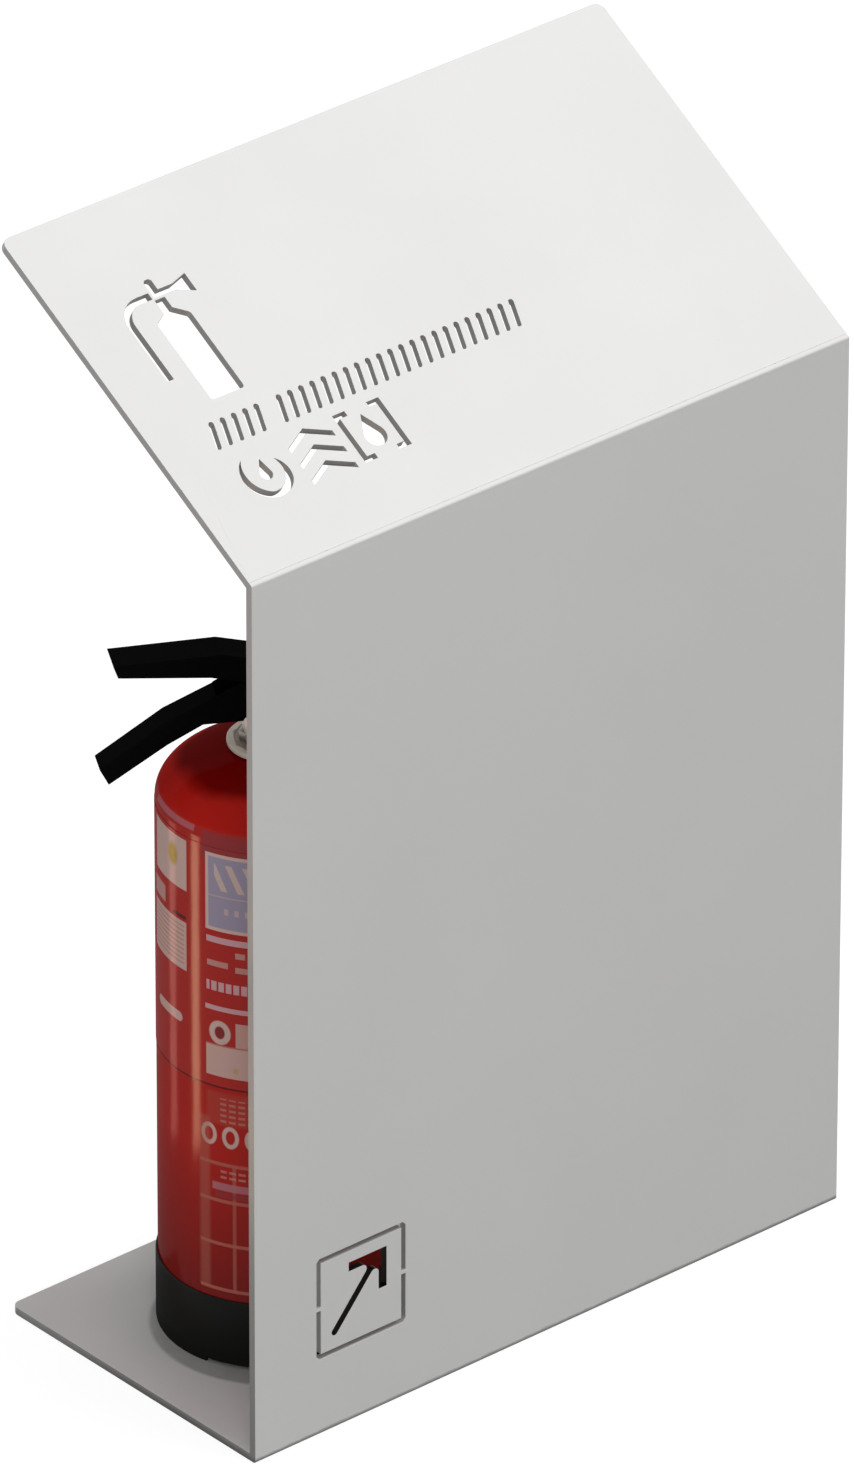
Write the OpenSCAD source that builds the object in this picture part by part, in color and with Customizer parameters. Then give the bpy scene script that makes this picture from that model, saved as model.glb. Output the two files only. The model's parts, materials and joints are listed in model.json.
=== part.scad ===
// Fire extinguisher cabinet: a stand folded from one painted sheet, with the extinguisher that it holds.
// Millimetres. The origin is on the floor, at the middle of the stand. +X right, +Y back, +Z up.

/* [Stand] */
// Width of the stand
stand_w = 500; // [430:5:640]
// Depth of the stand, front to back
stand_d = 245.5; // [225:0.5:300]
// Height of the fold at the front
front_h = 643.5; // [600:0.5:720]
// Slope of the sign panel
top_slope = 31; // [20:1:38]
// Thickness of the sheet
sheet_t = 5.5; // [3:0.5:8]
// Outer radius of the two folds
fold_r = 2; // [1:0.5:3]
// Radius of the free corners
corner_r = 7; // [3:1:14]

/* [Arrow window in the front panel] */
// Distance of the square from the left edge
square_x = 53.5; // [35:0.5:80]
// Height of the square's lower line above the floor
square_z = 58.5; // [40:0.5:90]
// Side of the square
square_side = 71.5; // [60:0.5:80]
// Width of the cut line
line_w = 3.5; // [2:0.5:4]
// Bridge that holds the square's inside
bridge = 3; // [2:0.5:6]
// Width of the arrow's shaft
arrow_shaft = 5; // [3:0.5:6]
// Width of the arrow's two barbs
arrow_barb = 6.5; // [4:0.5:7]

/* [Sign cuts in the sloping panel] */
// Distance of the sign from the left edge
sign_x = 41; // [30:1:50]
// Distance of the slot row from the fold, up the slope
row_b = 94; // [90:1:96]
// Length of a slot, up the slope
slot_len = 20; // [14:1:24]
// Width of a slot
slot_w = 3.6; // [2.4:0.2:5]
// Distance from slot to slot
slot_pitch = 9.2; // [8:0.2:9.6]
// Lean of the slots
slot_lean = 20; // [0:1:30]
// Distance of the three symbols from the fold, up the slope
symbol_b = 67; // [60:1:70]
// Distance from symbol to symbol
symbol_pitch = 43.5; // [42:0.5:50]
// Distance of the extinguisher figure's foot from the fold, up the slope
figure_b = 127.5; // [122:0.5:150]

/* [Extinguisher] */
// Radius of the cylinder
bottle_r = 75; // [65:0.5:80]
// Height of the cylinder's shoulder above the base plate
shoulder_h = 386.5; // [340:0.5:420]
// Height of the dome above the shoulder
dome_h = 39.5; // [32:0.5:42]
// Radius of the heel at the cylinder's foot
heel_r = 10; // [8:0.5:14]
// Thickness of the cylinder's steel wall
wall_t = 1.5; // [1:0.1:2.5]
// Depth to which the powder fills the cylinder
powder_h = 324; // [250:1:325]
// Height of the foot ring
foot_h = 50; // [35:1:60]
// Wall of the foot ring
foot_wall = 1.5; // [1:0.1:3]
// Height of the reliefs under the foot ring
foot_relief = 2.5; // [1:0.5:5]
// Height of the cylinder's bottom above the base plate
foot_lift = 10; // [8:1:16]
// Thickness of the printed label film
film_t = 0.25; // [0.2:0.05:0.5]
// Height of the label film's lower edge above the base plate
film_low = 208; // [150:1:260]
// Angle that the label film covers
film_angle = 330; // [180:5:340]
// Distance of the extinguisher from the stand's middle, to the left
bottle_x = 125; // [110:1:130]
// Distance of the extinguisher behind the stand's middle
bottle_y = 6; // [0:1:12]
// Direction of the levers in plan, from +X towards +Y
lever_turn = 150; // [135:1:160]

/* [Head] */
// Radius of the light collar on the neck
collar_r = 29; // [26:0.5:36]
// Height of the collar
collar_h = 4; // [3:0.5:6]
// Radius of the valve's lower body
valve_r = 19; // [18:0.5:22]
// Height of the valve's lower body
valve_h = 21; // [18:0.5:28]
// Thickness of the pressed lever steel
plate_t = 1.5; // [1:0.1:2]
// Width of the carry handle
handle_w = 20; // [17:0.5:22]
// Reach of the carry handle from the axis
handle_reach = 113; // [100:1:120]
// Reach of the bend in the carry handle
handle_bend = 69; // [60:1:80]
// Drop of the carry handle's tip below the valve's shoulder
handle_drop = 28.5; // [22:0.5:36]
// Reach of the carry handle's root, where it rises to the rivets
handle_root = 37; // [34:1:46]
// Depth of the carry handle's sides
handle_side = 15; // [10:0.5:18]
// Depth of the carry handle's root below the valve's shoulder
handle_sag = 2.5; // [0:0.5:4]
// Side gap between handle and lever
lever_gap = 1.5; // [1:0.1:2.5]
// Reach of the operating lever from the axis
lever_reach = 104; // [95:1:115]
// Reach of the operating lever's highest point
lever_bend = 34; // [30:1:50]
// Rise of the operating lever at that point
lever_rise = 5.5; // [3:0.5:7]
// Fall of the operating lever from there to its tip
lever_fall = 1.5; // [0:0.5:8]
// Distance of the lever's pivot behind the axis
pivot_x = 16; // [14:0.5:20]
// Angle through which the lever is squeezed
squeeze = 12; // [8:1:14]
// Radius of the rivets
rivet_r = 3; // [2:0.25:4]
// Running clearance of the lever on its rivet
pivot_fit = 0.08; // [0.02:0.01:0.1]
// Radius of the pressure gauge
gauge_r = 15; // [12:0.5:18]
// Radius of the threaded hose outlet
outlet_r = 7.25; // [5:0.25:8]
// Depth of the threaded hose outlet
outlet_depth = 12; // [8:1:14]

/* [Hidden] */
$fn = 96;
seam = 0.01;

// Places on the stand
front_y = -stand_d / 2;
left_x = -stand_w / 2;
slope_depth = stand_d - sheet_t * sin(top_slope);
slope_len = slope_depth / cos(top_slope);
seam_b = sheet_t * (1 - sin(top_slope)) / cos(top_slope);

// Heights on the extinguisher, from the top of the base plate
crown_h = shoulder_h + dome_h;
neck_r = valve_r - 1;
spigot_r = neck_r - 4;
neck_seat = shoulder_h + dome_h * sqrt(1 - pow(neck_r / bottle_r, 2));
collar_top = neck_seat + collar_h;
valve_top = collar_top + valve_h;
block_top = valve_top + 25;
pivot_h = valve_top + 32;
web_h = pivot_h + 11;
outlet_wall = 3;
outlet_h = collar_top + outlet_r + outlet_wall + 1.25;
gauge_h = collar_top + gauge_r + 1;

// Small sizes of the head
block_w = handle_w - 2 * plate_t;
lever_w = handle_w + 2 * (lever_gap + plate_t);
rivet_head_r = rivet_r + 2;
rivet_head_t = 1.5;
head_gap = 0.4;
ear_r = 7;

// A point on a circle, and an arc as a list of points
function ring_point(c, r, a) = [c[0] + r * cos(a), c[1] + r * sin(a)];
function arc(c, r, a0, a1, steps = 8) = [for (i = [0:steps]) ring_point(c, r, a0 + (a1 - a0) * i / steps)];

// Moves its children to the extinguisher's axis, on top of the base plate
module on_axis() {
    translate([-bottle_x, bottle_y, sheet_t])
        children();
}

// As on_axis, turned so that +X runs along the levers
module on_head() {
    on_axis()
        rotate([0, 0, lever_turn])
            children();
}

// Stands a side view, drawn as reach and height, on the levers' middle plane
module side_plate(y0, thickness) {
    translate([0, y0 + thickness, 0])
        rotate([90, 0, 0])
            linear_extrude(height = thickness)
                children();
}

// The base plate, with its two free corners rounded
module base_plate() {
    back_y = stand_d - corner_r;
    plan = concat([[0, sheet_t], [stand_w, sheet_t]],
                  arc([stand_w - corner_r, back_y], corner_r, 0, 90),
                  arc([corner_r, back_y], corner_r, 90, 180));
    color("gainsboro")
        translate([left_x, front_y, 0])
            linear_extrude(height = sheet_t)
                polygon(plan);
}

// Side view of the front panel with both folds, as depth and height
function front_outline() =
    let (turn = 90 - top_slope,
         lead = fold_r * tan(turn / 2),
         fold_c = [fold_r, front_h - lead],
         inner = [sheet_t, front_h + seam_b * sin(top_slope) - sheet_t * cos(top_slope)])
    concat([[sheet_t, 0], inner, [seam_b * cos(top_slope), front_h + seam_b * sin(top_slope)]],
           arc(fold_c, fold_r, 90 + top_slope, 180),
           arc([fold_r, fold_r], fold_r, 180, 270));

// A bar of width w between two points, with round ends
module stroke(p, q, w) {
    length = norm(q - p);
    turn = atan2(q[1] - p[1], q[0] - p[0]);
    translate(p)
        rotate(turn)
            polygon(concat(arc([length, 0], w / 2, -90, 90, 6), arc([0, 0], w / 2, 90, 270, 6)));
}

// The square's cut line, in two halves with a bridge on the left and on the right
module square_line() {
    mid = square_side / 2;
    difference() {
        square([square_side + line_w, square_side + line_w], center = true);
        square([square_side - line_w, square_side - line_w], center = true);
        square([square_side + 2 * line_w, bridge], center = true);
        for (sx = [-1, 1], sy = [-1, 1])
            translate([sx * (mid + line_w / 2), sy * (mid + line_w / 2)])
                rotate(45)
                    square([line_w, line_w], center = true);
    }
}

// The arrow in the square, pointing up to the right: one outline, with rounded throats beside the shaft
module arrow_cut() {
    tip = [0.3, 0.352] * square_side;
    tail = [-0.311, -0.305] * square_side;
    barb = [0.444, 0.412] * square_side;
    throat_r = 3.5;
    inner = [tip[0] - arrow_barb, tip[1] - arrow_barb];
    aim = [inner[0], tip[1] - arrow_barb / 2] - tail;
    along = aim / norm(aim);
    turn = atan2(along[1], along[0]);
    off = arrow_shaft / 2 + throat_r;
    upper = [tail[0] + along[0] * (inner[1] - throat_r - tail[1] - along[0] * off) / along[1] - along[1] * off,
             inner[1] - throat_r];
    lower = [inner[0] - throat_r,
             tail[1] + along[1] * (inner[0] - throat_r - tail[0] - along[1] * off) / along[0] - along[0] * off];
    polygon(concat(arc(tail, arrow_shaft / 2, turn + 90, turn + 270), arc(lower, throat_r, turn + 90, 0),
                   [[inner[0], tip[1] - barb[1]], [tip[0], tip[1] - barb[1]], tip, [tip[0] - barb[0], tip[1]],
                    [tip[0] - barb[0], inner[1]]],
                   arc(upper, throat_r, 90, turn - 90)));
}

// The upright front panel
module front_panel() {
    square_c = [left_x + square_x + square_side / 2, 0, square_z + square_side / 2];
    color("whitesmoke")
        difference() {
            translate([left_x, front_y, 0])
                rotate([90, 0, 90])
                    linear_extrude(height = stand_w)
                        polygon(front_outline());
            translate([square_c[0], front_y + sheet_t + 1, square_c[2]])
                rotate([90, 0, 0])
                    linear_extrude(height = sheet_t + 2) {
                        square_line();
                        arrow_cut();
                    }
        }
}

// The extinguisher figure, drawn from the middle of its foot
module figure_cut() {
    half_w = 13.4;
    body_top = 60;
    neck_half = 4;
    neck_top = 77.5;
    bar_low = 79.5;
    bar_high = 84;
    hose_out = 18;
    hose_in = 13;
    hose_c = [-15, bar_high - hose_out];
    polygon(concat(arc([half_w - 2, 2], 2, -90, 0, 4), arc([half_w - 3, body_top], 3, 0, 60, 4),
                   [[neck_half, body_top + 9], [neck_half, neck_top], [-neck_half, neck_top],
                    [-neck_half, body_top + 7]],
                   arc([-half_w + 3, body_top], 3, 120, 180, 4), arc([-half_w + 2, 2], 2, 180, 270, 4)));
    polygon([[-3, bar_low], [14.5, bar_low], [27.5, 73.5], [27.5, 87.5], [14.5, bar_high], [3, bar_high],
             [3, 91.5], [1.5, 93], [-1.5, 93], [-3, 91.5]]);
    polygon(concat([[-5, bar_high]], arc(hose_c, hose_out, 90, 180, 10),
                   [[hose_c[0] - hose_out, 23], [hose_c[0] - hose_in, 23]],
                   arc(hose_c, hose_in, 180, 90, 10), [[-5, hose_c[1] + hose_in]]));
}

// A row of leaning slots, with one left out as a gap
module slot_row() {
    reach = (slot_len - slot_w) / 2;
    count = floor((stand_w - sign_x - 200) / slot_pitch);
    gap_at = 5;
    for (i = [0:count - 1])
        if (i != gap_at)
            translate([i * slot_pitch + slot_len / 4, slot_len / 2])
                stroke([-reach * sin(slot_lean), -reach], [reach * sin(slot_lean), reach], slot_w);
}

// A flame of two tongues and a drop
module flame_cut() {
    difference() {
        circle(r = 18);
        translate([4, 3.5])
            circle(r = 18.3);
    }
    difference() {
        translate([3, -3])
            circle(r = 14);
        translate([-1, 1])
            circle(r = 14.5);
    }
    polygon(concat([[2, 11]], arc([0, 0], 4.5, 20, -200, 10)));
}

// Three stacked chevrons
module chevron_cut() {
    rise = 9;
    for (level = [-16, -3, 10])
        polygon([[-18, level], [0, level + rise], [18, level], [18, level - 4], [0, level + rise - 4],
                 [-18, level - 4]]);
}

// A drop between two brackets
module drop_cut() {
    for (side = [-1, 1])
        polygon([[side * 19, -19], [side * 19, 19], [side * 9, 19], [side * 9, 15.4], [side * 15.4, 15.4],
                 [side * 15.4, -15.4], [side * 9, -15.4], [side * 9, -19]]);
    polygon(concat([[0, 13]], arc([0, -4], 8, 30, -210, 14)));
}

// The sloping sign panel, drawn flat from the left end of the fold
module sign_panel() {
    sheet = concat([[0, seam_b], [stand_w, seam_b]],
                   arc([stand_w - corner_r, slope_len - corner_r], corner_r, 0, 90),
                   arc([corner_r, slope_len - corner_r], corner_r, 90, 180));
    color("white")
        translate([left_x, front_y, front_h])
            rotate([top_slope, 0, 0])
                translate([0, 0, -sheet_t])
                    linear_extrude(height = sheet_t)
                        difference() {
                            polygon(sheet);
                            translate([sign_x + 33, figure_b])
                                figure_cut();
                            translate([sign_x, row_b])
                                slot_row();
                            translate([sign_x + 20, symbol_b])
                                flame_cut();
                            translate([sign_x + 20 + symbol_pitch, symbol_b])
                                chevron_cut();
                            translate([sign_x + 20 + 2 * symbol_pitch, symbol_b])
                                drop_cut();
                        }
}

// The black foot ring, with three reliefs under its rim
module foot_ring() {
    relief_count = 3;
    first_relief = 195;
    span = 180 / relief_count;
    ledge = 13;
    out_r = bottle_r + foot_wall;
    color([0.08, 0.08, 0.08])
        on_axis()
            difference() {
                rotate_extrude()
                    polygon([[bottle_r - 1, 0], [out_r, 0], [out_r, foot_h - 1], [out_r - 0.8, foot_h],
                             [bottle_r, foot_h], [bottle_r, foot_lift], [bottle_r - ledge, foot_lift],
                             [bottle_r - ledge, foot_lift - 3], [bottle_r - 1, foot_lift - 3]]);
                for (i = [0:relief_count - 1])
                    rotate([0, 0, first_relief + i * 360 / relief_count])
                        rotate_extrude(angle = span)
                            translate([bottle_r - 2, -1])
                                square([foot_wall + 4, foot_relief + 1]);
            }
}

// Half section of a closed bottle that lies inside the outer one by inset
function bottle_half(inset, r_neck) =
    let (r = bottle_r - inset,
         rise = dome_h - inset / 2,
         heel = heel_r - inset,
         bottom = foot_lift + inset,
         cut = asin(r_neck / r))
    concat([[r_neck, bottom]], arc([r - heel, bottom + heel], heel, -90, 0, 6),
           [for (i = [0:18]) let (a = (90 - cut) * i / 18) [r * cos(a), shoulder_h + rise * sin(a)]]);

// The red cylinder: a steel shell with a dome, open at the neck
module cylinder_shell() {
    color([0.55, 0.05, 0.05])
        on_axis()
            rotate_extrude()
                difference() {
                    polygon(concat(bottle_half(0, neck_r), [[0, crown_h - 2], [0, foot_lift]]));
                    polygon(concat(bottle_half(wall_t, neck_r),
                                   [[neck_r, crown_h + 5], [0, crown_h + 5], [0, foot_lift + wall_t]]));
                }
}

// The powder inside the cylinder
module powder_charge() {
    heel = heel_r - wall_t;
    bottom = foot_lift + wall_t;
    color("lightyellow")
        on_axis()
            rotate_extrude()
                polygon(concat([[0, bottom]],
                               arc([bottle_r - wall_t - heel, bottom + heel], heel, -90, 0, 6),
                               [[bottle_r - wall_t, bottom + powder_h], [0, bottom + powder_h]]));
}

// The printed label film, open at the back
module label_film() {
    high = shoulder_h - 2;
    open_at = 60;
    color([0.6, 0.27, 0.24])
        on_axis()
            rotate([0, 0, open_at + (360 - film_angle) / 2])
                rotate_extrude(angle = film_angle)
                    translate([bottle_r, film_low])
                        square([film_t, high - film_low]);
}

// The steel neck boss, welded into the dome
module neck_boss() {
    depth = 6;
    color("silver")
        on_axis()
            translate([0, 0, neck_seat - depth])
                difference() {
                    cylinder(r = neck_r, h = collar_h + depth);
                    translate([0, 0, -1])
                        cylinder(r = spigot_r, h = collar_h + depth + 2);
                }
}

// The light collar around the neck
module neck_collar() {
    bevel = 1.2;
    color("gainsboro")
        on_axis()
            translate([0, 0, neck_seat])
                rotate_extrude()
                    polygon([[neck_r, 0], [collar_r, 0], [collar_r, collar_h - bevel],
                             [collar_r - bevel, collar_h], [neck_r, collar_h]]);
}

// The valve: a turned lower body, a spigot in the neck and a flat block between the handle's sides
module valve_body() {
    spigot_len = 14;
    block_back = 10;
    block_front = 14;
    color("darkgoldenrod")
        on_head()
            difference() {
                union() {
                    rotate_extrude()
                        polygon([[0, collar_top - spigot_len], [spigot_r, collar_top - spigot_len],
                                 [spigot_r, collar_top], [valve_r, collar_top], [valve_r, valve_top - 2],
                                 [valve_r - 2, valve_top], [0, valve_top]]);
                    translate([-block_back, -block_w / 2, valve_top - 1])
                        cube([block_back + block_front, block_w, block_top - valve_top + 1]);
                }
                handle_rivet_hole();
            }
}

// Place and hole of the rivet that ties the handle to the valve block
handle_rivet_at = [7, valve_top + 10];
module handle_rivet_hole() {
    translate([handle_rivet_at[0], 0, handle_rivet_at[1]])
        rotate([90, 0, 0])
            cylinder(r = rivet_r, h = 2 * lever_w, center = true);
}

// The valve's stem, under the lever
module valve_stem() {
    stem_r = 3;
    stem_gap = 0.5;
    travel = (pivot_x + stem_r) * sin(squeeze);
    color("gold")
        on_head()
            translate([0, 0, block_top])
                cylinder(r = stem_r, h = web_h - plate_t - travel - stem_gap - block_top);
}

// Turns its children to look out of the valve's side, towards the front of the stand
module on_gauge() {
    on_head()
        translate([0, valve_r, gauge_h])
            rotate([-90, 0, 0])
                children();
}

gauge_gap = 5;
gauge_depth = 10;
gauge_rim = 1.5;

// The short threaded stem between valve and gauge
module gauge_stem() {
    stem_r = 5;
    color("goldenrod")
        difference() {
            on_gauge()
                translate([0, 0, -2])
                    cylinder(r = stem_r, h = gauge_gap + 2);
            on_head()
                cylinder(r = valve_r, h = valve_top + 1);
        }
}

// The gauge's round case, open towards the dial
module gauge_case() {
    color("silver")
        on_gauge()
            translate([0, 0, gauge_gap])
                difference() {
                    cylinder(r = gauge_r, h = gauge_depth);
                    translate([0, 0, 3])
                        cylinder(r = gauge_r - gauge_rim, h = gauge_depth);
                }
}

// The gauge's dial
module gauge_dial() {
    color("white")
        on_gauge()
            translate([0, 0, gauge_gap + 3])
                cylinder(r = gauge_r - gauge_rim, h = 3);
}

// The gauge's lens
module gauge_lens() {
    color("lightblue", 0.5)
        on_gauge()
            translate([0, 0, gauge_gap + gauge_depth - 2])
                cylinder(r = gauge_r - gauge_rim, h = 1.5);
}

// The threaded hose outlet, opposite the levers
module outlet_nipple() {
    length = outlet_depth + 8;
    color("goldenrod")
        difference() {
            on_head()
                translate([-valve_r + 2, 0, outlet_h])
                    rotate([0, -90, 0])
                        difference() {
                            cylinder(r = outlet_r + outlet_wall, h = length);
                            translate([0, 0, length - outlet_depth])
                                cylinder(r = outlet_r, h = outlet_depth + 1);
                        }
            on_head()
                cylinder(r = valve_r, h = valve_top + 1);
        }
}

// Top line of the carry handle, as reach and height, from the tip to the valve
handle_tip = [handle_reach, valve_top - handle_drop];
handle_knee = [handle_bend, valve_top + 2];
handle_heel = [handle_root, valve_top + 17];

// Side view of the handle's sloping sides, with the ear that carries the lever's rivet
function handle_outline() =
    concat([handle_tip, handle_knee, handle_heel, [12, pivot_h - 1.5]],
           arc([-pivot_x, pivot_h], ear_r, 90, 180, 8),
           [[-pivot_x - ear_r, valve_top], [valve_r - 0.5, valve_top], [valve_r + 1, valve_top - handle_sag],
            [handle_root + 9, valve_top - handle_sag],
            [handle_knee[0], handle_knee[1] - handle_side - 1.8],
            [handle_tip[0] - 0.39 * handle_side, handle_tip[1] - 0.77 * handle_side]]);

// Side view of the handle's web
function handle_web() =
    let (drop = plate_t * 1.2)
    [handle_tip, handle_knee, handle_heel, handle_heel - [1, drop], handle_knee - [0.6, drop],
     handle_tip - [1, drop]];

// The fixed carry handle, pressed from one plate
module carry_handle() {
    color([0.05, 0.05, 0.05])
        on_head()
            difference() {
                union() {
                    for (y0 = [-handle_w / 2, handle_w / 2 - plate_t])
                        side_plate(y0, plate_t)
                            polygon(handle_outline());
                    side_plate(-handle_w / 2 + seam, handle_w - 2 * seam)
                        polygon(handle_web());
                }
                handle_rivet_hole();
                lever_rivet_hole(rivet_r);
            }
}

// The rivet hole through handle and lever
module lever_rivet_hole(r) {
    translate([-pivot_x, 0, pivot_h])
        rotate([90, 0, 0])
            cylinder(r = r, h = 2 * lever_w, center = true);
}

// A rivet along the head's Y direction, with a head on each end
module rivet(at, half) {
    translate([at[0], 0, at[1]])
        rotate([90, 0, 0]) {
            cylinder(r = rivet_r, h = 2 * half, center = true);
            for (side = [-1, 1])
                translate([0, 0, side * (half + rivet_head_t / 2)])
                    cylinder(r = rivet_head_r, h = rivet_head_t, center = true);
        }
}

// The rivet that ties the handle to the valve
module handle_rivet() {
    color("dimgray")
        on_head()
            rivet(handle_rivet_at, handle_w / 2);
}

// The rivet that the lever turns on
module lever_rivet() {
    color("dimgray")
        on_head()
            rivet([-pivot_x, pivot_h], lever_w / 2 + head_gap);
}

// Top line of the lever, as reach and height, from the tip to the pivot
lever_tip = [lever_reach, web_h + lever_rise - lever_fall];
lever_crest = [lever_bend, web_h + lever_rise];
lever_back = [-pivot_x - 8, web_h - 2];

// Side view of the lever's sides
function lever_outline() =
    [lever_tip, lever_crest, [14, web_h + 0.5], [-pivot_x + 4, web_h], lever_back,
     [-pivot_x - 8, pivot_h - 7], [10, pivot_h - 7], [lever_bend + 7, pivot_h + 0.8],
     [lever_reach - 3, lever_tip[1] - 8.4]];

// Side view of the lever's web
function lever_web() =
    let (drop = plate_t + 0.1)
    [lever_tip, lever_crest, [14, web_h + 0.5], [-pivot_x + 4, web_h], lever_back, lever_back - [0, drop],
     [-pivot_x + 4, web_h - drop], [14, web_h + 0.5 - drop], lever_crest - [0, drop], lever_tip - [1, drop]];

// The operating lever, pressed from one plate
module operating_lever() {
    color([0.07, 0.07, 0.07])
        on_head()
            difference() {
                union() {
                    for (y0 = [-lever_w / 2, lever_w / 2 - plate_t])
                        side_plate(y0, plate_t)
                            polygon(lever_outline());
                    side_plate(-lever_w / 2 + seam, lever_w - 2 * seam)
                        polygon(lever_web());
                }
                lever_rivet_hole(rivet_r + pivot_fit);
            }
}

base_plate();
front_panel();
sign_panel();
foot_ring();
cylinder_shell();
powder_charge();
label_film();
neck_boss();
neck_collar();
valve_body();
valve_stem();
gauge_stem();
gauge_case();
gauge_dial();
gauge_lens();
outlet_nipple();
carry_handle();
handle_rivet();
operating_lever();
lever_rivet();
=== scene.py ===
# %% [markdown]
# # A fire extinguisher cabinet
#
# The object is a floor stand folded from one painted sheet, with a red dry powder extinguisher in it.
# The construction is already solid and measured: it comes in as a fixed frame. This notebook gives it
# its looks: rounded edges, turned and pressed parts, paint, print, light and a camera.
# All lengths are in metres. +X is right, +Y is back and +Z is up.

# %% Tools and the frame
import json
import math

import bpy
from mathutils import Euler, Matrix, Vector

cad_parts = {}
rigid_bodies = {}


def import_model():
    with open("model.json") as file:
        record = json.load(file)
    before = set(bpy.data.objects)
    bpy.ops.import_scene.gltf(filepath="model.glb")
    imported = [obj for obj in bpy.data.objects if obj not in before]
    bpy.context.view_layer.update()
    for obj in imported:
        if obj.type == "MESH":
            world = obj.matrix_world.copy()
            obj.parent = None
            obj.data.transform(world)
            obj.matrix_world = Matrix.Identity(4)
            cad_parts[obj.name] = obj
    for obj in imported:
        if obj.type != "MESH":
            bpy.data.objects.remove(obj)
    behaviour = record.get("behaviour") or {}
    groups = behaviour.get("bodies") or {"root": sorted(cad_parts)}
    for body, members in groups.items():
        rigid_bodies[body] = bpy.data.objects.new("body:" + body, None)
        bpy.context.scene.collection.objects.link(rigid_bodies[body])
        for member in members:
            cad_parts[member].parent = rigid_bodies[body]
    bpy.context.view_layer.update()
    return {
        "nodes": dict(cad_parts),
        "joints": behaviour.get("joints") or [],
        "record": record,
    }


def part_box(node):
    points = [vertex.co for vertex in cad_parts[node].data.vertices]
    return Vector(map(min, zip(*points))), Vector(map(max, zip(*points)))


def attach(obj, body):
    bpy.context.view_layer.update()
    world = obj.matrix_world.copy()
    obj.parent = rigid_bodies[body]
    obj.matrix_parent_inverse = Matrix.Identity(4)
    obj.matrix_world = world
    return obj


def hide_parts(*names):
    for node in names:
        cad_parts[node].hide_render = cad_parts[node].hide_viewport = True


for leftover in list(bpy.data.objects):
    bpy.data.objects.remove(leftover, do_unlink=True)

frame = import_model()
nodes = frame["nodes"]
print("frame loaded:", len(nodes), "nodes")

# %% [markdown]
# ## Measures
#
# Nothing is measured twice. The heights and radii come from the boxes of the nodes, and the direction
# of the levers comes from the hinge of the operating lever. The hinge's axis lies across the head, so
# the levers point along the cross product of that axis and the vertical.

# %% Measures read from the frame
MM = 0.001
UP = Vector((0, 0, 1))


def middle(node):
    low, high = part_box(node)
    return (low + high) / 2


def top_of(node):
    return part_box(node)[1].z


def half_size(node, axis=0):
    """Half of a node's size along an axis, which is the radius of a round node."""
    low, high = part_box(node)
    return (high[axis] - low[axis]) / 2


hinge = next(joint for joint in frame["joints"] if joint["type"] == "hinge")
across = Vector(hinge["axis"]).normalized()
along = across.cross(UP).normalized()

axis_x, axis_y = middle("cylinder_shell").xy
axis_foot = Vector((axis_x, axis_y, 0))
bottle_r = half_size("cylinder_shell")
sheet_t = top_of("base_plate")
print("bottle radius", round(bottle_r, 4), "levers point along", [round(v, 3) for v in along])


def head_place(point):
    """A point's reach along the levers, its offset sideways and its height above the floor."""
    flat = Vector((point.x - axis_x, point.y - axis_y, 0))
    return flat.dot(along), flat.dot(across), point.z


# %% [markdown]
# ## Working by hand, in code
#
# The pieces are made with the operators that a modeller uses by hand. An operator acts on all that is
# selected, so each step first deselects everything and picks one piece. Vertices and edges are picked
# by their place.

# %% Picking pieces, vertices and edges
def deselect():
    if bpy.context.object and bpy.context.object.mode != "OBJECT":
        close_mesh()
    bpy.ops.object.select_all(action="DESELECT")


def pick(piece):
    deselect()
    piece.select_set(True)
    bpy.context.view_layer.objects.active = piece


def open_mesh(piece, kind="VERT", action="SELECT"):
    """Goes into edit mode with all vertices or edges of a piece selected, or none."""
    pick(piece)
    bpy.ops.object.mode_set(mode="EDIT")
    bpy.ops.mesh.select_mode(type=kind)
    bpy.ops.mesh.select_all(action=action)


def close_mesh():
    bpy.ops.object.mode_set(mode="OBJECT")


def open_where(piece, kind, test):
    """Goes into edit mode with only those parts selected that pass the test, and counts them."""
    open_mesh(piece, kind, "DESELECT")
    close_mesh()
    parts = piece.data.vertices if kind == "VERT" else piece.data.edges
    for part in parts:
        part.select = test(part)
    picked = sum(part.select for part in parts)
    bpy.ops.object.mode_set(mode="EDIT")
    return picked


# %% Modifiers, round edges and shading
def apply_modifiers(piece):
    pick(piece)
    for modifier in list(piece.modifiers):
        bpy.ops.object.modifier_apply(modifier=modifier.name)


def round_edges(piece, width, segments=2):
    """Rounds all sharp edges, and marks the new faces in an attribute that a worn finish reads."""
    piece.data.materials.clear()
    for material in (None, None):
        piece.data.materials.append(material)
    bevel = piece.modifiers.new("rounded edges", "BEVEL")
    bevel.width = width
    bevel.segments = segments
    bevel.limit_method = "ANGLE"
    bevel.angle_limit = math.radians(40)
    bevel.use_clamp_overlap = False
    bevel.material = 1
    apply_modifiers(piece)
    edge_mark = piece.data.attributes.new("worn_edge", "FLOAT", "CORNER")
    for face in piece.data.polygons:
        for corner in face.loop_indices:
            edge_mark.data[corner].value = float(face.material_index == 1)
        face.material_index = 0


def shade(piece, angle, weighted=True):
    """Smooth shading that keeps the large flat faces flat."""
    pick(piece)
    bpy.ops.object.shade_smooth_by_angle(angle=math.radians(angle))
    if weighted:
        normals = piece.modifiers.new("flat faces stay flat", "WEIGHTED_NORMAL")
        normals.keep_sharp = True
        apply_modifiers(piece)


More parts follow.
